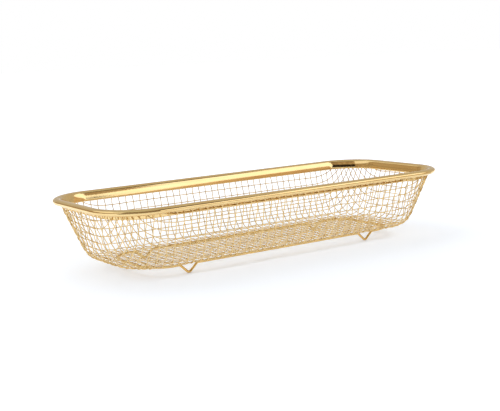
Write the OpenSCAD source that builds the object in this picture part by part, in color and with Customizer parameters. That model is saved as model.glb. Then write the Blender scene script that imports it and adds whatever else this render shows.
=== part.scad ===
// Serving basket: a bowl of woven wire cloth, its edge clamped in a folded sheet rim,
// on a bent base wire with four feet. Millimetres.
// Origin: middle of the footprint, on the surface that the feet stand on. +X is the long way.

/* [Rim] */
// Length over the rim
rim_length = 305; // [280:1:340]
// Width over the rim
rim_width = 125; // [118:1:140]
// Radius of the rim's corners at its outer edge
rim_corner = 36; // [33:0.5:42]
// Thickness of the folded sheet
sheet = 0.6; // [0.4:0.05:0.8]
// Height of the bead
bead_height = 4.5; // [4:0.1:5.5]
// Width of the bead, from its outer edge to the inner fold
bead_width = 7; // [6.6:0.1:8]
// Depth of the inner skirt below the rim's top
skirt_depth = 7.5; // [6.5:0.1:9]
// Lean of the skirt from upright, in degrees
skirt_lean = 15; // [12:1:20]

/* [Bowl] */
// Height from the feet to the rim's top
basket_height = 54; // [46:0.5:66]
// Length of the floor, between the wall lines
floor_length = 264.5; // [248:0.5:272]
// Width of the floor, between the wall lines
floor_width = 92.5; // [86:0.5:99]
// Radius of the floor's corners
floor_corner = 31.5; // [29:0.5:34]
// Height of the floor's underside above the table
floor_height = 7.75; // [6.5:0.25:10]
// Length of the bend between the floor and the wall, on each side of the corner
floor_bend = 9.5; // [6.5:0.5:11]
// Thickness of the cloth between its ridges
cloth = 0.8; // [0.6:0.05:1]
// Height of a ridge above the cloth, on each side
ridge = 0.4; // [0.2:0.05:0.6]
// Width of a woven band between two gaps
band = 4.2; // [3:0.1:6]
// Number of gaps along the middle of the floor
columns = 9; // [6:1:9]
// Number of gaps across the middle of the floor
cross_rows = 2; // [1:1:2]

/* [Base wire] */
// Diameter of the base wire
wire = 1.8; // [1.5:0.1:2.2]
// Distance of the wire's middle in from the floor's long edges
wire_inset = 13; // [11.5:0.25:15]
// Distance of the wire's middle in from the floor's ends
wire_end_inset = 20.75; // [17:0.25:24]
// Level wire between a foot and the ring's corner
foot_gap = 3.5; // [1.5:0.25:12]
// Width of a foot where it leaves the level wire
foot_width = 16; // [14:0.5:19]
// Radius of the bends of a foot, at the wire's middle
foot_bend = 2.4; // [1.9:0.1:2.9]

/* [Clearances] */
// Gap between the cloth and the bead's lip
lip_gap = 0.3; // [0.2:0.05:0.4]
// Gap between the cloth and the skirt
skirt_gap = 0.6; // [0.5:0.05:0.7]
// Gap between the cloth and what it rests on or under
seat_gap = 0.2; // [0.1:0.05:0.3]

/* [Hidden] */
$fn = 96;

// Half sizes of the rim's outline
rim_x = rim_length / 2;
rim_y = rim_width / 2;

// The bead's section: an oval centre line, with the skirt leaving it at the skirt's lean
oval_w = (bead_width - sheet) / 2;
oval_h = (bead_height - sheet) / 2;
oval_mid = [bead_width / 2, -bead_height / 2];
fold_end = atan(tan(skirt_lean) * oval_h / oval_w);
arc_steps = 20;
function oval(a) = oval_mid + [oval_w * cos(a), oval_h * sin(a)];
fold = oval(fold_end);
skirt_end = [fold[0] + (skirt_depth + fold[1]) * tan(skirt_lean), -skirt_depth];

// How far in from the rim's outer edge the cloth's middle lies, at a depth below the rim's top
cloth_from_skirt = (sheet / 2 + skirt_gap + cloth / 2) / cos(skirt_lean);
function cloth_in(depth) = fold[0] + (depth + fold[1]) * tan(skirt_lean) - cloth_from_skirt;

// The lip ends a gap short of the cloth
lip_in = cloth_in(bead_height - sheet) - (cloth / 2 + lip_gap) / cos(skirt_lean);

// The cloth's top edge sits just under the crown of the bead
crown_at = (cloth_in(bead_height / 2) - oval_mid[0]) / oval_w;
tuck_depth = bead_height / 2 - oval_h * sqrt(1 - crown_at * crown_at) + sheet + seat_gap + cloth / 2;

// Rows of the bowl: half length, half width, corner radius and height of its outline
floor_z = floor_height + cloth / 2 + ridge;
function rim_row(depth) =
    [rim_x - cloth_in(depth), rim_y - cloth_in(depth), rim_corner - cloth_in(depth), basket_height - depth];
function floor_row(inset) =
    [floor_length / 2 - inset, floor_width / 2 - inset, floor_corner - inset, floor_z];
function mix(p, q, k) = p + (q - p) * k;
core = floor_row(floor_corner);
bend_in = floor_row(floor_bend);
edge = floor_row(0);
skirt_row = rim_row(skirt_depth);
wall_whole = norm([skirt_row[0] - edge[0], skirt_row[3] - edge[3]]);
bend_out = mix(edge, skirt_row, floor_bend / wall_whole);
top_row = rim_row(tuck_depth);

// Runs along the cloth: flat floor, bend, wall, and the band inside the rim
flat_run = floor_corner - floor_bend;
bend_chord = norm([bend_out[0] - bend_in[0], bend_out[3] - bend_in[3]]);
bend_run = 2 / 3 * (bend_chord + floor_bend);
wall_run = wall_whole - floor_bend;
rim_run = (skirt_depth - tuck_depth) / cos(skirt_lean);
wall_start = flat_run + bend_run;
rim_start = wall_start + wall_run;
cloth_run = rim_start + rim_run;
function bend_row(k) = mix(mix(bend_in, edge, k), mix(edge, bend_out, k), k);
function row_at(q) =
    q <= flat_run ? mix(core, bend_in, q / flat_run) :
    q <= wall_start ? bend_row((q - flat_run) / bend_run) :
    q <= rim_start ? mix(bend_out, skirt_row, (q - wall_start) / wall_run) :
    mix(skirt_row, top_row, (q - rim_start) / rim_run);

// Lines of the cloth outside the core, each [run, half thickness, gap follows]
thin = cloth / 2;
thick = cloth / 2 + ridge;
wall_mid = wall_start + wall_run / 2;
outer_lines = [
    [band / 2, thin, true], [(band / 2 + flat_run) / 2, thin, true],
    [flat_run, thin, false], [flat_run + bend_run / 4, thick, false],
    [flat_run + bend_run / 2, thin, false], [flat_run + bend_run * 3 / 4, thick, false],
    [wall_start, thin, true], [(wall_start + wall_mid - band / 2) / 2, thin, true],
    [wall_mid - band / 2, thin, false], [wall_mid, thick, false], [wall_mid + band / 2, thin, true],
    [(wall_mid + band / 2 + rim_start) / 2, thin, true],
    [rim_start, thin, false], [cloth_run, thin, false]
];
outer_count = len(outer_lines);

// Lines across the core, from its middle line outwards, for a core cut into a number of gaps
function core_lines(half, gaps) = [
    for (g = [0:gaps]) let (at = -half + 2 * half * g / gaps)
        for (k = [-1:1]) [at + k * band / 2, k == 0 ? thick : thin, k == 1 && g < gaps]
];
// All lines across the cloth, each [place, half thickness, gap follows]
function lines(half, gaps) = let (inner = core_lines(half, gaps), last = len(inner) - 1) concat(
    [for (i = [outer_count - 1:-1:0])
        [-half - outer_lines[i][0], outer_lines[i][1], i > 0 && outer_lines[i - 1][2]]],
    [for (i = [1:last - 1]) inner[i]],
    [for (i = [0:outer_count - 1]) [half + outer_lines[i][0], outer_lines[i][1], outer_lines[i][2]]]
);
long_lines = lines(core[0], columns);
cross_lines = lines(core[1], cross_rows);

// A point of the cloth, from its place on the flat sheet, with the outward direction there
function side(v) = v < 0 ? -1 : 1;
function beyond(v, half) = max(0, abs(v) - half);
function turn(qs, qt) = max(qs, qt) == 0 ? 0 : qt >= qs ? 90 - 45 * qs / qt : 45 * qt / qs;
function on_row(row, s, t, a) = [
    side(s) * ((row[0] - row[2]) * min(abs(s), core[0]) / core[0] + row[2] * cos(a)),
    side(t) * ((row[1] - row[2]) * min(abs(t), core[1]) / core[1] + row[2] * sin(a)),
    row[3]
];
function outward(q, s, t, a) = q < flat_run ? [0, 0, -1] :
    let (step = 0.01, low = min(q, cloth_run - step),
         up = on_row(row_at(low + step), s, t, a) - on_row(row_at(low), s, t, a),
         n = side(s) * side(t) * cross([-side(s) * sin(a), side(t) * cos(a), 0], up))
    n / norm(n);
function cloth_point(u, v, face) =
    let (s = long_lines[u][0], t = cross_lines[v][0],
         qs = beyond(s, core[0]), qt = beyond(t, core[1]), q = max(qs, qt), a = turn(qs, qt),
         half = q > rim_start - 0.01 ? thin : max(long_lines[u][1], cross_lines[v][1]))
    on_row(row_at(q), s, t, a) + face * half * outward(q, s, t, a);

// Point numbers and faces of the cloth
nu = len(long_lines);
nv = len(cross_lines);
function outer_at(u, v) = u * nv + v;
function inner_at(u, v) = nu * nv + u * nv + v;
function solid_at(u, v) =
    u >= 0 && v >= 0 && u < nu - 1 && v < nv - 1 && !(long_lines[u][2] && cross_lines[v][2]);
// A cell is cut along the diagonal that points to the middle of the basket
function middle(list, i) = (list[i][0] + list[i + 1][0]) / 2;
function falling(u, v) = middle(long_lines, u) * middle(cross_lines, v) < 0;
function two_triangles(a, b, c, d, swap) = swap ? [[a, b, d], [b, c, d]] : [[a, b, c], [a, c, d]];
function edge_wall(p, q, r, s) = [[p, q, r], [p, r, s]];
cloth_points = concat(
    [for (u = [0:nu - 1]) for (v = [0:nv - 1]) cloth_point(u, v, 1)],
    [for (u = [0:nu - 1]) for (v = [0:nv - 1]) cloth_point(u, v, -1)]
);
cloth_faces = [
    for (u = [0:nu - 2]) for (v = [0:nv - 2]) if (solid_at(u, v)) each concat(
        two_triangles(outer_at(u, v), outer_at(u + 1, v), outer_at(u + 1, v + 1), outer_at(u, v + 1),
            falling(u, v)),
        two_triangles(inner_at(u, v), inner_at(u, v + 1), inner_at(u + 1, v + 1), inner_at(u + 1, v),
            falling(u, v)),
        solid_at(u, v - 1) ? [] :
            edge_wall(outer_at(u + 1, v), outer_at(u, v), inner_at(u, v), inner_at(u + 1, v)),
        solid_at(u + 1, v) ? [] :
            edge_wall(outer_at(u + 1, v + 1), outer_at(u + 1, v), inner_at(u + 1, v), inner_at(u + 1, v + 1)),
        solid_at(u, v + 1) ? [] :
            edge_wall(outer_at(u, v + 1), outer_at(u + 1, v + 1), inner_at(u + 1, v + 1), inner_at(u, v + 1)),
        solid_at(u - 1, v) ? [] :
            edge_wall(outer_at(u, v), outer_at(u, v + 1), inner_at(u, v + 1), inner_at(u, v))
    )
];

// The sheet's section, as a strip along its centre line: lip, outside of the bead, crown, fold, skirt
lip_mid = [lip_in, -bead_height + sheet / 2];
section_line = concat(
    [lip_mid],
    [for (i = [0:arc_steps]) oval(270 - (270 - fold_end) * i / arc_steps)],
    [skirt_end]
);
function along(p, i) =
    let (a = p[max(i - 1, 0)], b = p[min(i + 1, len(p) - 1)]) (b - a) / norm(b - a);
function beside(p, i, k) = let (d = along(p, i)) p[i] + k * [-d[1], d[0]];
module sheet_section() {
    last = len(section_line) - 1;
    polygon(concat(
        [for (i = [0:last]) beside(section_line, i, sheet / 2)],
        [for (i = [last:-1:0]) beside(section_line, i, -sheet / 2)]
    ));
}

// A section carried round the rim: the section's x is the distance in from the outer edge
module rim_side(half) {
    rotate([90, 0, 90]) translate([0, 0, -half]) linear_extrude(2 * half) children();
}
module rim() {
    straight_x = rim_x - rim_corner;
    straight_y = rim_y - rim_corner;
    color("goldenrod") translate([0, 0, basket_height]) {
        for (m = [0, 1]) {
            mirror([0, m, 0]) translate([0, -rim_y, 0]) rim_side(straight_x) sheet_section();
            mirror([m, 0, 0]) translate([rim_x, 0, 0]) rotate([0, 0, 90]) rim_side(straight_y) sheet_section();
        }
        for (mx = [0, 1]) for (my = [0, 1]) mirror([mx, 0, 0]) mirror([0, my, 0])
            translate([straight_x, straight_y, 0]) rotate_extrude(angle = 90)
                translate([rim_corner, 0]) mirror([1, 0]) sheet_section();
    }
}

module mesh_bowl() {
    color("gold") polyhedron(points = cloth_points, faces = cloth_faces, convexity = 12);
}

// The base wire: its middle height, a foot's drop, and the angle of the legs between their bends
wire_z = floor_height - seat_gap - wire / 2;
foot_drop = wire_z - wire / 2;
bend_apart = norm([foot_width / 2, foot_drop - 2 * foot_bend]);
foot_angle = asin(2 * foot_bend / bend_apart) + atan((foot_drop - 2 * foot_bend) / (foot_width / 2));
wire_x = floor_length / 2 - wire_end_inset;
wire_y = floor_width / 2 - wire_inset;
wire_corner = floor_corner - wire_inset;
foot_place = wire_x - wire_corner - foot_gap - foot_width / 2;
wire_sides = 12;
bend_steps = 5;
corner_steps = 14;

// One foot on the +Y side, walked towards +X: a bend down, the bend at its tip, and a bend back to level
function foot_stop(x, z) = [[foot_place + x, wire_y, z], [0, 1, 0]];
function foot_stops() = concat(
    [for (k = [0:bend_steps]) let (a = foot_angle * k / bend_steps)
        foot_stop(foot_bend * sin(a) - foot_width / 2, wire_z - foot_bend * (1 - cos(a)))],
    [for (k = [-bend_steps:bend_steps]) let (a = foot_angle * k / bend_steps)
        foot_stop(foot_bend * sin(a), wire_z - foot_drop + foot_bend * (1 - cos(a)))],
    [for (k = [bend_steps:-1:0]) let (a = foot_angle * k / bend_steps)
        foot_stop(foot_width / 2 - foot_bend * sin(a), wire_z - foot_bend * (1 - cos(a)))]
);
function corner_stops() = [
    for (k = [0:corner_steps]) let (a = 90 - 90 * k / corner_steps, out = [cos(a), sin(a), 0])
        [[wire_x - wire_corner, wire_y - wire_corner, wire_z] + wire_corner * out, out]
];
// A quarter of the ring, from the middle of the +Y side to the +X end, and the same in each quarter
quarter = concat(foot_stops(), corner_stops());
function turned(mx, my) = [for (p = quarter) [for (v = p) [mx * v[0], my * v[1], v[2]]]];
function backwards(list) = [for (i = [len(list) - 1:-1:0]) list[i]];
ring = concat(turned(1, 1), backwards(turned(1, -1)), turned(-1, -1), backwards(turned(-1, 1)));
rings = len(ring);
function ring_way(i) =
    let (d = ring[(i + 1) % rings][0] - ring[(i + rings - 1) % rings][0]) d / norm(d);
wire_points = [
    for (i = [0:rings - 1]) let (out = ring[i][1], up = cross(ring_way(i), out))
        for (k = [0:wire_sides - 1]) let (a = 360 * k / wire_sides)
            ring[i][0] + wire / 2 * (cos(a) * out + sin(a) * up)
];
wire_faces = [
    for (i = [0:rings - 1]) for (k = [0:wire_sides - 1])
        let (j = (i + 1) % rings, m = (k + 1) % wire_sides) each two_triangles(
            i * wire_sides + k, j * wire_sides + k, j * wire_sides + m, i * wire_sides + m, false)
];
module base_wire() {
    color("darkgoldenrod") polyhedron(points = wire_points, faces = wire_faces, convexity = 12);
}

rim();
mesh_bowl();
base_wire();
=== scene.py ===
# The looks of the serving basket: folded rim, pressed wire cloth, bent base wire, and a white studio.
import math

import bpy
import numpy as np
from mathutils import Matrix, Vector


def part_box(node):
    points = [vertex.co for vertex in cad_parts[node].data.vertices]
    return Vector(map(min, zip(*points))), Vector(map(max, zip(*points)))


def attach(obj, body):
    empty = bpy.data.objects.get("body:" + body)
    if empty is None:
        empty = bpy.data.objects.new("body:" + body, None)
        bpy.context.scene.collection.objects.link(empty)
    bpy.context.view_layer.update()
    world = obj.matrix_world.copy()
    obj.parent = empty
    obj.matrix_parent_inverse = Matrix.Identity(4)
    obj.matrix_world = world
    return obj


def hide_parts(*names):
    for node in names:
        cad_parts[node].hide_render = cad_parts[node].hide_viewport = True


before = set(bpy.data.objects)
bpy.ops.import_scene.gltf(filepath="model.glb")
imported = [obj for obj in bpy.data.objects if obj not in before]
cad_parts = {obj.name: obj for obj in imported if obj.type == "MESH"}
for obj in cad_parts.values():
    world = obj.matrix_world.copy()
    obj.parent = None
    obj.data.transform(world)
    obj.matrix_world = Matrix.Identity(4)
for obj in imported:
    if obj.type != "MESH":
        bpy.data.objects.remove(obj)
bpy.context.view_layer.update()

mm = 0.001

# The frame's own sizes
rim_low, rim_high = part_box("rim")
base_low, base_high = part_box("base_wire")
half_x, half_y, top_z = rim_high[0], rim_high[1], rim_high[2]
skirt_depth = top_z - rim_low[2]

# The rim's section, as the CAD has it
rim_corner = 36 * mm
sheet = 0.6 * mm
bead_height = 4.5 * mm
bead_width = 7 * mm
skirt_lean = math.radians(15)
slot_width = 1.7 * mm
skirt_bulge = 0.05

# The bowl's outline and the cloth
floor_half_x = 132.25 * mm
floor_half_y = 46.25 * mm
floor_corner = 31.5 * mm
floor_bend = 9.5 * mm
cloth_wire = 0.65 * mm
cloth_pitch = 6.0 * mm
cloth_edge_depth = 1.9 * mm
corner_trim = 0.12
cloth_shift = (0.6 * mm, 0.0 * mm)

# How the cloth relaxes: rounds, pulls in each round, and how strongly wires straighten and pull
press_rounds = 400
pulls_a_round = 4
straighten_share = 0.2
pull_share = 2.6

# The base wire
base_wire = 1.8 * mm
base_side_inset = 13 * mm
base_end_inset = 20.75 * mm
foot_gap = 3.5 * mm
foot_width = 16 * mm
foot_bend = 2.4 * mm

# The camera that fits the photograph
camera_azimuth = -33.81
camera_elevation = 8.873
camera_roll = -2.471
camera_distance = 762.6 * mm
camera_target = (0.0, 0.0, 30 * mm)
camera_slide = (-4.17 * mm, 4.75 * mm)
picture_width = 500
focal_pixels = 982.9

# How much the floor glows for the camera and in reflections, near the basket and far off, in metres; the
# weaker glow near the basket leaves painted shade round it
lift_near, lift_far = 0.1, 0.5
lift_from, lift_to = 0.13, 0.8

# The light: the world's plain level and what is seen of it, and two soft lamps in metres and watts
world_plain, world_seen = 0.74, 1.0
key_place, key_size, key_power = (-0.7, 0.9, 1.75), (2.2, 2.0), 14
fill_place, fill_size, fill_power = (1.4, -0.6, 1.3), (1.0, 0.8), 3

# The cards that only reflections see, in metres and degrees
room_radius = 5.0
table_front_start, table_front_end = 0.24, 4.8
table_front_lift = 0.5 * mm


# Materials

def node(tree, kind, **sockets):
    """A new node with its inputs set by name."""
    made = tree.nodes.new(kind)
    for name, value in sockets.items():
        made.inputs[name.replace("_", " ")].default_value = value
    return made


def gold(name, light, dark, roughness, patch_size, grain_size, grain_height):
    """Plated metal: soft patches of tone, uneven polish and a fine grain."""
    material = bpy.data.materials.new(name)
    material.use_nodes = True
    tree = material.node_tree
    link = tree.links.new
    shader = tree.nodes["Principled BSDF"]
    shader.inputs["Metallic"].default_value = 1.0
    place = tree.nodes.new("ShaderNodeTexCoord")
    patches = node(tree, "ShaderNodeTexNoise", Scale=1 / patch_size, Detail=3.0, Roughness=0.55)
    link(place.outputs["Object"], patches.inputs["Vector"])
    tone = tree.nodes.new("ShaderNodeValToRGB")
    tone.color_ramp.elements[0].position = 0.35
    tone.color_ramp.elements[0].color = (*dark, 1)
    tone.color_ramp.elements[1].position = 0.65
    tone.color_ramp.elements[1].color = (*light, 1)
    link(patches.outputs["Fac"], tone.inputs["Fac"])
    link(tone.outputs["Color"], shader.inputs["Base Color"])
    polish = node(tree, "ShaderNodeMapRange", From_Min=0.3, From_Max=0.7,
                  To_Min=roughness * 0.8, To_Max=roughness * 1.25)
    link(patches.outputs["Fac"], polish.inputs["Value"])
    link(polish.outputs["Result"], shader.inputs["Roughness"])
    grain = node(tree, "ShaderNodeTexNoise", Scale=1 / grain_size, Detail=2.0)
    link(place.outputs["Object"], grain.inputs["Vector"])
    bump = node(tree, "ShaderNodeBump", Strength=0.35, Distance=grain_height)
    link(grain.outputs["Fac"], bump.inputs["Height"])
    link(bump.outputs["Normal"], shader.inputs["Normal"])
    return material


rim_gold = gold("rim_gold", (0.95, 0.71, 0.34), (0.89, 0.64, 0.29), roughness=0.10,
                patch_size=30 * mm, grain_size=2.2 * mm, grain_height=0.02 * mm)
cloth_gold = gold("cloth_gold", (0.96, 0.73, 0.36), (0.82, 0.60, 0.28), roughness=0.26,
                  patch_size=9 * mm, grain_size=0.5 * mm, grain_height=0.02 * mm)
# Painted shade: the base wire's gold is a darker, deeper copy of the rim's gold, for the wire's darker
# look low under the basket.
base_gold_painted_shade = gold("base_gold_painted_shade", (0.86, 0.58, 0.20), (0.72, 0.46, 0.14), roughness=0.12,
                 patch_size=12 * mm, grain_size=0.8 * mm, grain_height=0.01 * mm)


# Meshes

def finish_piece(name, vertices, faces, material, slot_name, *replaced):
    """Makes a smooth mesh piece that rides on the basket."""
    mesh = bpy.data.meshes.new(name)
    mesh.from_pydata([tuple(v) for v in vertices], [], [tuple(f) for f in faces])
    mesh.polygons.foreach_set("use_smooth", [True] * len(mesh.polygons))
    mesh.materials.append(material)
    mesh.update()
    piece = bpy.data.objects.new(name, mesh)
    bpy.context.scene.collection.objects.link(piece)
    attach(piece, "root")
    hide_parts(*replaced)
    return piece


def unit(vectors):
    return vectors / np.linalg.norm(vectors, axis=-1, keepdims=True)


def tube_parts(paths, radius, sides, closed):
    """Vertices and faces of round wires. Each path is (points, directions out of the bend's plane)."""
    angles = np.linspace(0, 2 * math.pi, sides, endpoint=False)
    vertices, faces, start = [], [], 0
    for points, outward in paths:
        if closed:
            way = unit(np.roll(points, -1, axis=0) - np.roll(points, 1, axis=0))
        else:
            way = unit(np.gradient(points, axis=0))
        side = unit(outward - way * np.sum(outward * way, axis=1, keepdims=True))
        other = np.cross(way, side)
        rings = (points[:, None] + radius * (np.cos(angles)[None, :, None] * side[:, None]
                                             + np.sin(angles)[None, :, None] * other[:, None]))
        vertices.append(rings.reshape(-1, 3))
        count = len(points)
        for i in range(count if closed else count - 1):
            here, there = start + i * sides, start + (i + 1) % count * sides
            for k in range(sides):
                m = (k + 1) % sides
                faces.append((here + k, here + m, there + m, there + k))
        if not closed:
            faces.append(tuple(start + k for k in reversed(range(sides))))
            faces.append(tuple(start + (count - 1) * sides + k for k in range(sides)))
        start += count * sides
    return np.concatenate(vertices), faces


# The rim

oval_w = (bead_width - sheet) / 2
oval_h = (bead_height - sheet) / 2
oval_mid = np.array([bead_width / 2, -bead_height / 2])
fold_angle = math.atan(math.tan(skirt_lean) * oval_h / oval_w)


def oval(angle):
    return oval_mid + np.array([oval_w * math.cos(angle), oval_h * math.sin(angle)])


fold = oval(fold_angle)
cloth_from_skirt = (sheet / 2 + slot_width / 2) / math.cos(skirt_lean)


def cloth_in(depth):
    """How far in from the rim's outer edge the cloth's middle lies, at a depth below the rim's top."""
    return fold[0] + (depth + fold[1]) * math.tan(skirt_lean) - cloth_from_skirt


def rim_section():
    """The folded sheet's outline: distance in from the outer edge, and height from the top."""
    bead_steps, skirt_steps = 44, 12
    bead_start = math.radians(270)
    lip = [cloth_in(bead_height) - slot_width / 2 / math.cos(skirt_lean), -bead_height + sheet / 2]
    skirt_end = [fold[0] + (skirt_depth + fold[1]) * math.tan(skirt_lean), -skirt_depth]
    line = [np.array(lip)]
    line += [oval(bead_start - (bead_start - fold_angle) * i / bead_steps) for i in range(bead_steps + 1)]
    along = np.array(skirt_end) - fold
    across = np.array([-along[1], along[0]]) * skirt_bulge
    line += [fold + along * k + across * 4 * k * (1 - k) for k in np.linspace(0, 1, skirt_steps + 1)[1:]]
    line = np.array(line)
    way = unit(np.gradient(line, axis=0))
    across = np.stack([-way[:, 1], way[:, 0]], axis=1)
    half = np.full(len(line), sheet / 2)
    half[-1] = half[0] = sheet * 0.3
    outer, inner = line + across * half[:, None], line - across * half[:, None]
    return np.concatenate([outer, inner[::-1]])


def rim_stations():
    """Places round the rim: the corner's middle, and the direction out."""
    corner_steps, side_step = 40, 8 * mm
    middle_x, middle_y = half_x - rim_corner, half_y - rim_corner
    middles = [(middle_x, middle_y), (-middle_x, middle_y),
               (-middle_x, -middle_y), (middle_x, -middle_y)]
    stations = []
    for quarter in range(4):
        middle = np.array(middles[quarter])
        for i in range(corner_steps + 1):
            angle = math.radians(90) * (quarter + i / corner_steps)
            stations.append((middle, np.array([math.cos(angle), math.sin(angle)])))
        following = np.array(middles[(quarter + 1) % 4])
        steps = max(2, round(np.linalg.norm(following - middle) / side_step))
        out = stations[-1][1]
        stations += [(middle + (following - middle) * i / steps, out) for i in range(1, steps)]
    return stations


def make_rim():
    section = rim_section()
    stations = rim_stations()
    vertices = []
    for middle, out in stations:
        flat = middle[None] + out[None] * (rim_corner - section[:, :1])
        vertices.append(np.concatenate([flat, top_z + section[:, 1:]], axis=1))
    count, width = len(stations), len(section)
    faces = []
    for i in range(count):
        here, there = i * width, (i + 1) % count * width
        faces += [(here + k, there + k, there + (k + 1) % width, here + (k + 1) % width)
                  for k in range(width)]
    return finish_piece("folded_rim", np.concatenate(vertices), faces, rim_gold, "rim", "rim")


# The wire cloth, pressed over the bowl: rows of half length, half width, corner radius and height

floor_z = base_high[2] + cloth_wire


def rim_row(depth):
    inset = cloth_in(depth)
    return np.array([half_x - inset, half_y - inset, rim_corner - inset, top_z - depth])


def floor_row(inset):
    return np.array([floor_half_x - inset, floor_half_y - inset, floor_corner - inset, floor_z])


def bowl_rows():
    """Rows from the flat floor's edge, round the bend and up the wall, and on past the rim."""
    edge, skirt, upper = floor_row(0), rim_row(skirt_depth), rim_row(0)
    bend_in = floor_row(floor_bend)
    wall = math.hypot(skirt[0] - edge[0], skirt[3] - edge[3])
    bend_out = edge + (skirt - edge) * floor_bend / wall
    bend = [(bend_in * (1 - k) + edge * k) * (1 - k) + (edge * (1 - k) + bend_out * k) * k
            for k in np.linspace(0, 1, 11)]
    side = [bend_out + (skirt - bend_out) * k for k in np.linspace(0, 1, 26)[1:]]
    beyond = [skirt + (upper - skirt) * k for k in np.linspace(0, 6, 36)[1:]]
    return np.array(bend + side + beyond)


rows = bowl_rows()


def outline_gap(x, y, row):
    """How far points lie outside a row's outline, and the way out of it."""
    dx, dy = np.abs(x) - (row[..., 0] - row[..., 2]), np.abs(y) - (row[..., 1] - row[..., 2])
    ox, oy = np.maximum(dx, 0), np.maximum(dy, 0)
    corner = np.hypot(ox, oy)
    gap = corner + np.minimum(np.maximum(dx, dy), 0) - row[..., 2]
    safe = np.maximum(corner, 1e-9)
    gx = np.where(corner > 0, ox / safe, (dx >= dy).astype(float))
    gy = np.where(corner > 0, oy / safe, (dx < dy).astype(float))
    return gap, gx * np.where(x < 0, -1, 1), gy * np.where(y < 0, -1, 1)


def onto_bowl(points):
    """The nearest points of the bowl's middle surface, and its outward directions there."""
    x, y, z = points.T
    gap, _, _ = outline_gap(x[:, None], y[:, None], rows[None])
    cost = gap ** 2 + (z[:, None] - rows[None, :, 3]) ** 2
    k = np.clip(np.argmin(cost, axis=1), 1, len(rows) - 2)
    many = np.arange(len(k))
    low, mid, high = cost[many, k - 1], cost[many, k], cost[many, k + 1]
    shift = np.clip(0.5 * (low - high) / np.maximum(low - 2 * mid + high, 1e-15), -1, 1)
    above = np.where(shift >= 0, k + 1, k - 1)
    row = rows[k] + (rows[above] - rows[k]) * np.abs(shift)[:, None]
    gap, gx, gy = outline_gap(x, y, row)
    placed = np.stack([x - gap * gx, y - gap * gy, row[:, 3]], axis=1)
    change = rows[k + 1] - rows[k - 1]
    spread = ((change[:, 0] - change[:, 2]) * np.abs(gx) + (change[:, 1] - change[:, 2]) * np.abs(gy)
              + change[:, 2])
    outward = unit(np.stack([gx * change[:, 3], gy * change[:, 3], -spread], axis=1))
    flat = outline_gap(x, y, rows[0])[0] < 0
    placed[flat] = np.stack([x[flat], y[flat], np.full(flat.sum(), floor_z)], axis=1)
    outward[flat] = (0, 0, -1)
    return placed, outward


def flat_net():
    """The cloth before it relaxes: a square net laid over the bowl, and which of its points are used."""
    runs = np.concatenate([[0], np.cumsum(np.linalg.norm(np.diff(rows[:, [0, 3]], axis=0), axis=1))])
    flat_run = floor_corner - floor_bend
    core_x, core_y = floor_half_x - floor_corner, floor_half_y - floor_corner
    top_run = np.interp(top_z - cloth_edge_depth / 2, rows[:, 3], runs) + flat_run
    reach = top_run + 1.2 * cloth_pitch
    nx, ny = int((core_x + reach) / cloth_pitch) + 1, int((core_y + reach) / cloth_pitch) + 1
    s = (np.arange(-nx, nx + 1) * cloth_pitch + cloth_shift[0])[:, None] + np.zeros((1, 2 * ny + 1))
    t = (np.arange(-ny, ny + 1) * cloth_pitch + cloth_shift[1])[None, :] + np.zeros((2 * nx + 1, 1))
    qs, qt = np.maximum(np.abs(s) - core_x, 0), np.maximum(np.abs(t) - core_y, 0)
    q = np.hypot(qs, qt)
    diagonal = np.minimum(qs, qt) / np.maximum(q, 1e-9) * math.sqrt(2)
    alive = q < reach * (1 - corner_trim * diagonal)
    angle = np.arctan2(qt, qs)
    row = np.stack([np.interp(q - flat_run, runs, rows[:, c]) for c in range(4)], axis=-1)
    x = np.where(qs > 0, np.sign(s) * (row[..., 0] - row[..., 2] + row[..., 2] * np.cos(angle)), s)
    y = np.where(qt > 0, np.sign(t) * (row[..., 1] - row[..., 2] + row[..., 2] * np.sin(angle)), t)
    in_floor = q < flat_run
    net = np.stack([np.where(in_floor, s, x), np.where(in_floor, t, y), row[..., 3]], axis=-1)
    return net, alive, alive & (q >= flat_run - cloth_pitch)


def shifted(axis, start, stop):
    """An index of the net that leaves out its first or last lines along one axis."""
    index = [slice(None)] * 2
    index[axis] = slice(start, stop)
    return tuple(index)


def straightening(net, alive):
    """How each point moves when every wire tries to run straight through its crossings."""
    moved = np.zeros_like(net)
    for axis in (0, 1):
        a, b, c = shifted(axis, 0, -2), shifted(axis, 1, -1), shifted(axis, 2, None)
        used = (alive[a] & alive[b] & alive[c])[..., None]
        bend = np.where(used, (net[a] + net[c]) / 2 - net[b], 0)
        moved[b] += bend
        moved[a] -= bend / 2
        moved[c] -= bend / 2
    return moved


def pulling(net, alive):
    """How each point moves when every wire keeps the length between its crossings."""
    moved, shares = np.zeros_like(net), np.zeros(net.shape[:2])
    for axis in (0, 1):
        low, high = shifted(axis, 0, -1), shifted(axis, 1, None)
        both = alive[low] & alive[high]
        step = net[high] - net[low]
        length = np.linalg.norm(step, axis=-1)
        pull = np.where(both, (length - cloth_pitch) / np.maximum(length, 1e-9) / 2, 0)[..., None] * step
        moved[low] += pull
        moved[high] -= pull
        shares[low] += both
        shares[high] += both
    return moved / np.maximum(shares, 1)[..., None]


def press_cloth():
    """Presses the net over the bowl: the wires keep their length, so the corners shear."""
    net, alive, free = flat_net()
    loose = free[..., None]
    for _ in range(press_rounds):
        net = net + np.where(loose, straightening(net, alive) * straighten_share, 0)
        for _ in range(pulls_a_round):
            net = net + np.where(loose, pulling(net, alive) * pull_share, 0)
        net[free] = onto_bowl(net[free])[0]
    directions = np.zeros_like(net)
    net[alive], directions[alive] = onto_bowl(net[alive])
    return net, directions, alive


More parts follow.
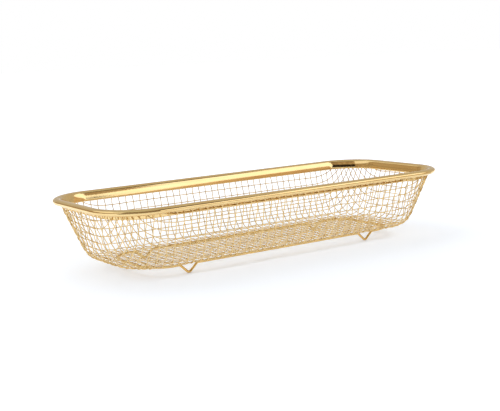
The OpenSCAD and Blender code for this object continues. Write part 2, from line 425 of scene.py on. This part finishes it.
def wire_path(points, outward, over):
    """A smooth crimped wire through its crossings, cut off under the rim's crown."""
    parts = 4
    cut = top_z - cloth_edge_depth
    ends = np.concatenate([[2 * points[0] - points[1]], points, [2 * points[-1] - points[-2]]])
    path, sides = [], []
    for i in range(len(points) - 1):
        a, b, c, d = ends[i:i + 4]
        for k in range(parts):
            f = k / parts
            spot = 0.5 * (2 * b + (c - a) * f + (2 * a - 5 * b + 4 * c - d) * f ** 2
                          + (3 * b - a - 3 * c + d) * f ** 3)
            out = outward[i] * (1 - f) + outward[i + 1] * f
            out = out / np.linalg.norm(out)
            lift = over * (-1) ** i * math.cos(math.pi * f) * cloth_wire / 2
            path.append(spot + out * lift)
            sides.append(out)
    path, sides = np.array(path), np.array(sides)
    inside = path[:, 2] < cut
    kept = []
    start = None
    for i in range(len(path) + 1):
        if i < len(path) and inside[i]:
            start = i if start is None else start
        elif start is not None:
            if i - start > parts:
                kept.append((path[start:i], sides[start:i]))
            start = None
    return kept


def make_cloth():
    net, outward, alive = press_cloth()
    crosswise, lengthwise = [], []
    for i in range(net.shape[0]):
        line = np.flatnonzero(alive[i])
        if len(line) > 3:
            over = 1 if (i + line[0]) % 2 else -1
            crosswise += wire_path(net[i, line], outward[i, line], over)
    for j in range(net.shape[1]):
        line = np.flatnonzero(alive[:, j])
        if len(line) > 3:
            over = -1 if (j + line[0]) % 2 else 1
            lengthwise += wire_path(net[line, j], outward[line, j], over)
    for name, paths in (("crosswise_wires", crosswise), ("lengthwise_wires", lengthwise)):
        vertices, faces = tube_parts(paths, cloth_wire / 2, 8, False)
        finish_piece(name, vertices, faces, cloth_gold, "wire_cloth", "mesh_bowl")


# The base wire

def foot_stops(level, drop):
    """One foot in its own plane: places along the wire and heights, from level wire to level wire."""
    apart = math.hypot(foot_width / 2, drop - 2 * foot_bend)
    leg_angle = math.asin(2 * foot_bend / apart) + math.atan((drop - 2 * foot_bend) / (foot_width / 2))
    steps = 8
    turn = [leg_angle * k / steps for k in range(steps + 1)]
    down = [(foot_bend * math.sin(a) - foot_width / 2, level - foot_bend * (1 - math.cos(a)))
            for a in turn]
    tip = [(foot_bend * math.sin(a), level - drop + foot_bend * (1 - math.cos(a)))
           for a in [-a for a in reversed(turn)] + turn[1:]]
    return down + tip + [(-x, z) for x, z in reversed(down)]


def make_base_wire():
    level = base_high[2] - base_wire / 2
    drop = level - base_low[2] - base_wire / 2
    ring_x, ring_y = floor_half_x - base_end_inset, floor_half_y - base_side_inset
    corner = floor_corner - base_side_inset
    foot_place = ring_x - corner - foot_gap - foot_width / 2
    corner_steps = 24
    stops = [((0.0, ring_y, level), (0, 1, 0)), ((foot_place / 2, ring_y, level), (0, 1, 0))]
    stops += [((foot_place + x, ring_y, z), (0, 1, 0)) for x, z in foot_stops(level, drop)]
    for k in range(corner_steps + 1):
        angle = math.radians(90) * (1 - k / corner_steps)
        out = (math.cos(angle), math.sin(angle), 0)
        turned_x, turned_y = ring_x - corner + corner * out[0], ring_y - corner + corner * out[1]
        stops.append(((turned_x, turned_y, level), out))
    stops.append(((ring_x, 0.0, level), (1, 0, 0)))
    quarter = np.array(stops)
    ring = []
    for sign_x, sign_y, back in ((1, 1, False), (1, -1, True), (-1, -1, False), (-1, 1, True)):
        turned = quarter * np.array([sign_x, sign_y, 1])
        turned = turned[::-1] if back else turned
        ring.append(turned[:-1])
    ring = np.concatenate(ring)
    vertices, faces = tube_parts([(ring[:, 0], ring[:, 1])], base_wire / 2, 20, True)
    return finish_piece("base_ring", vertices, faces, base_gold_painted_shade, "base_wire", "base_wire")


# The studio

def seen_directly(tree):
    """1 for what the camera, gloss and glass see, else 0."""
    link = tree.links.new
    path = tree.nodes.new("ShaderNodeLightPath")
    seen = tree.nodes.new("ShaderNodeMath")
    seen.operation = "MAXIMUM"
    link(path.outputs["Is Camera Ray"], seen.inputs[0])
    link(path.outputs["Is Glossy Ray"], seen.inputs[1])
    also = tree.nodes.new("ShaderNodeMath")
    also.operation = "MAXIMUM"
    link(seen.outputs[0], also.inputs[0])
    link(path.outputs["Is Transmission Ray"], also.inputs[1])
    return also.outputs[0]


def white_seen(tree, plain, strength):
    """Mixes a shader with pure white for what the camera, gloss and glass see."""
    link = tree.links.new
    mix = tree.nodes.new("ShaderNodeMixShader")
    link(seen_directly(tree), mix.inputs[0])
    link(plain.outputs[0], mix.inputs[1])
    white = node(tree, "ShaderNodeBackground", Color=(1, 1, 1, 1), Strength=strength)
    link(white.outputs[0], mix.inputs[2])
    return mix


def make_world():
    world = bpy.data.worlds.new("studio")
    world.use_nodes = True
    tree = world.node_tree
    tree.nodes.clear()
    plain = node(tree, "ShaderNodeBackground", Color=(1, 1, 1, 1), Strength=world_plain)
    output = tree.nodes.new("ShaderNodeOutputWorld")
    tree.links.new(white_seen(tree, plain, world_seen).outputs[0], output.inputs["Surface"])
    bpy.context.scene.world = world


def stage_mesh(name, vertices, faces, material):
    mesh = bpy.data.meshes.new(name)
    mesh.from_pydata([tuple(v) for v in vertices], [], faces)
    mesh.materials.append(material)
    made = bpy.data.objects.new(name, mesh)
    bpy.context.scene.collection.objects.link(made)
    return made


def make_floor():
    """A white table: it keeps the shadow, and its own faint glow lifts the lit part to white. The glow is
    weaker near the basket, a painted shade round it, and its bluish colour paints a cool tint into the
    shadow.
    """
    material = bpy.data.materials.new("floor_white")
    material.use_nodes = True
    tree = material.node_tree
    link = tree.links.new
    shader = tree.nodes["Principled BSDF"]
    shader.inputs["Roughness"].default_value = 0.9
    shader.inputs["Specular IOR Level"].default_value = 0.0
    place = tree.nodes.new("ShaderNodeTexCoord")
    cloud = node(tree, "ShaderNodeTexNoise", Scale=0.6)
    link(place.outputs["Object"], cloud.inputs["Vector"])
    tone = tree.nodes.new("ShaderNodeValToRGB")
    tone.color_ramp.elements[0].color = (0.955, 0.975, 1.0, 1)
    tone.color_ramp.elements[1].color = (0.975, 0.99, 1.0, 1)
    link(cloud.outputs["Fac"], tone.inputs["Fac"])
    link(tone.outputs["Color"], shader.inputs["Base Color"])
    away = tree.nodes.new("ShaderNodeVectorMath")
    away.operation = "LENGTH"
    link(place.outputs["Object"], away.inputs[0])
    # Painted shade: the glow grows with distance from the basket, so the floor near the basket stays
    # darker.
    ramp = node(tree, "ShaderNodeMapRange", From_Min=lift_from, From_Max=lift_to,
                To_Min=lift_near, To_Max=lift_far)
    link(away.outputs["Value"], ramp.inputs["Value"])
    lift = tree.nodes.new("ShaderNodeMath")
    lift.operation = "MULTIPLY"
    link(seen_directly(tree), lift.inputs[0])
    link(ramp.outputs["Result"], lift.inputs[1])
    # Painted shade colour: the glow's bluish tint is clipped where the floor is lit and shows as a cool
    # tint in the shadow.
    glow = node(tree, "ShaderNodeEmission", Color=(0.85, 1.0, 1.3, 1))
    link(lift.outputs[0], glow.inputs["Strength"])
    both = tree.nodes.new("ShaderNodeAddShader")
    link(shader.outputs[0], both.inputs[0])
    link(glow.outputs[0], both.inputs[1])
    link(both.outputs[0], tree.nodes["Material Output"].inputs["Surface"])
    reach = 12
    corners = [(-reach, -reach, 0), (reach, -reach, 0), (reach, reach, 0), (-reach, reach, 0)]
    stage_mesh("studio_floor", corners, [(0, 1, 2, 3)], material)


def card_material(name, dark, light):
    """An unlit card that shows only as a reflection, cloudy between two tones."""
    material = bpy.data.materials.new(name)
    material.use_nodes = True
    tree = material.node_tree
    tree.nodes.clear()
    place = tree.nodes.new("ShaderNodeTexCoord")
    cloud = node(tree, "ShaderNodeTexNoise", Scale=1.5)
    tree.links.new(place.outputs["Object"], cloud.inputs["Vector"])
    tone = tree.nodes.new("ShaderNodeValToRGB")
    tone.color_ramp.elements[0].position = 0.4
    tone.color_ramp.elements[0].color = (*dark, 1)
    tone.color_ramp.elements[1].position = 0.6
    tone.color_ramp.elements[1].color = (*light, 1)
    tree.links.new(cloud.outputs["Fac"], tone.inputs["Fac"])
    glow = tree.nodes.new("ShaderNodeEmission")
    tree.links.new(tone.outputs["Color"], glow.inputs["Color"])
    output = tree.nodes.new("ShaderNodeOutputMaterial")
    tree.links.new(glow.outputs[0], output.inputs["Surface"])
    return material


def reflection_card(name, vertices, faces, material):
    card = stage_mesh(name, vertices, faces, material)
    card.visible_camera = False
    card.visible_diffuse = False
    card.visible_shadow = False
    return card


def front_card(name, azimuths, reaches, material):
    """Painted shade on the table between the basket and the room, seen only in reflections: a grey card,
    part of a flat ring just over the floor.
    """
    steps = 24
    vertices = []
    for i in range(steps + 1):
        azimuth = math.radians(azimuths[0] + (azimuths[1] - azimuths[0]) * i / steps)
        vertices += [(reach * math.cos(azimuth), reach * math.sin(azimuth), table_front_lift)
                     for reach in reaches]
    faces = [(2 * i, 2 * i + 1, 2 * i + 3, 2 * i + 2) for i in range(steps)]
    return reflection_card(name, vertices, faces, material)


def curved_card(name, azimuths, lows, highs, material):
    """A piece of a wide sphere round the basket. Its edges run from one height to another, in degrees."""
    steps_round, steps_up = 16, 8
    vertices, faces = [], []
    for i in range(steps_round + 1):
        azimuth = math.radians(azimuths[0] + (azimuths[1] - azimuths[0]) * i / steps_round)
        low = lows[0] + (lows[1] - lows[0]) * i / steps_round
        high = highs[0] + (highs[1] - highs[0]) * i / steps_round
        for k in range(steps_up + 1):
            height = math.radians(low + (high - low) * k / steps_up)
            flat = room_radius * math.cos(height)
            vertices.append((flat * math.cos(azimuth), flat * math.sin(azimuth),
                             room_radius * math.sin(height)))
    for i in range(steps_round):
        for k in range(steps_up):
            here = i * (steps_up + 1) + k
            faces.append((here, here + 1, here + steps_up + 2, here + steps_up + 1))
    return reflection_card(name, vertices, faces, material)


def make_cards():
    """The rest of the room, which shows only as reflections in the gold."""
    room_dark = card_material("room_dark", (0.02, 0.017, 0.012), (0.05, 0.04, 0.03))
    room_umber = card_material("room_umber", (0.11, 0.08, 0.05), (0.20, 0.15, 0.09))
    room_brown = card_material("room_brown", (0.34, 0.26, 0.17), (0.50, 0.40, 0.28))
    room_warm = card_material("room_warm", (0.58, 0.42, 0.28), (0.70, 0.52, 0.36))
    room_grey = card_material("room_grey", (0.50, 0.46, 0.40), (0.60, 0.56, 0.50))
    ceiling = card_material("ceiling", (0.50, 0.50, 0.46), (0.60, 0.60, 0.56))
    softbox = card_material("softbox", (1.3, 1.35, 1.5), (1.5, 1.55, 1.65))
    back_start, left_start, camera_start, box_start, box_turn, box_end = -20, 106, 206, 295, 305, 340
    bar_low, ceiling_low = 46, 62
    left, facing = (left_start, camera_start), (camera_start, box_start)
    curved_card("studio_left", left, (2, 2), (32, 32), room_brown)
    curved_card("studio_horizon", facing, (0, 0), (8, 8), room_grey)
    curved_card("studio_dark", facing, (11, 11), (29, 29), room_dark)
    curved_card("studio_upper", facing, (29, 29), (bar_low, bar_low), room_brown)
    curved_card("studio_bar", (camera_start, box_turn), (bar_low, bar_low), (ceiling_low, ceiling_low),
                room_umber)
    near_box, far_box = (box_start, box_turn), (box_turn, box_end)
    curved_card("studio_low_left", near_box, (0, 0), (7, 18), room_warm)
    curved_card("studio_softbox_left", near_box, (7, 18), (26, 36), softbox)
    curved_card("studio_upper_left", near_box, (26, 36), (bar_low, bar_low), room_brown)
    curved_card("studio_low_right", far_box, (0, 0), (18, 26), room_warm)
    curved_card("studio_softbox_right", far_box, (18, 26), (36, 54), softbox)
    curved_card("studio_upper_right", far_box, (36, 54), (ceiling_low, ceiling_low), room_umber)
    curved_card("studio_back", (back_start, left_start), (3, 3), (ceiling_low, ceiling_low), room_grey)
    # A grey card over the white floor that only reflections see: painted shade in the gold's reflection
    # of the table.
    front_card("studio_table_front", (200, 350), (table_front_start, table_front_end), room_grey)
    curved_card("studio_ceiling", (0, 360), (ceiling_low, ceiling_low), (89, 89), ceiling)


def camera_axes():
    azimuth, elevation = math.radians(camera_azimuth), math.radians(camera_elevation)
    back = Vector((math.sin(azimuth) * math.cos(elevation), -math.cos(azimuth) * math.cos(elevation),
                   math.sin(elevation)))
    right = Vector((math.cos(azimuth), math.sin(azimuth), 0))
    return right, back.cross(right), back


def make_camera():
    right, up, back = camera_axes()
    target = Vector(camera_target) + right * camera_slide[0] + up * camera_slide[1]
    roll = math.radians(camera_roll)
    tilted_right = right * math.cos(roll) + up * math.sin(roll)
    tilted_up = up * math.cos(roll) - right * math.sin(roll)
    data = bpy.data.cameras.new("camera")
    data.sensor_width = 36
    data.lens = focal_pixels / picture_width * data.sensor_width
    camera = bpy.data.objects.new("camera", data)
    turn = Matrix((tilted_right, tilted_up, back)).transposed().to_4x4()
    camera.matrix_world = Matrix.Translation(target + back * camera_distance) @ turn
    bpy.context.scene.collection.objects.link(camera)
    bpy.context.scene.camera = camera


def area_lamp(name, place, size, power):
    data = bpy.data.lights.new(name, "AREA")
    data.shape = "RECTANGLE"
    data.size, data.size_y = size
    data.energy = power
    lamp = bpy.data.objects.new(name, data)
    lamp.location = place
    lamp.rotation_euler = (Vector((0, 0, 0)) - Vector(place)).to_track_quat("-Z", "Y").to_euler()
    lamp.visible_glossy = False
    bpy.context.scene.collection.objects.link(lamp)
    return lamp


make_camera()
make_rim()
make_cloth()
make_base_wire()
make_world()
make_floor()
make_cards()
area_lamp("key", key_place, key_size, key_power)
area_lamp("fill", fill_place, fill_size, fill_power)
bpy.context.scene.view_settings.view_transform = "Standard"
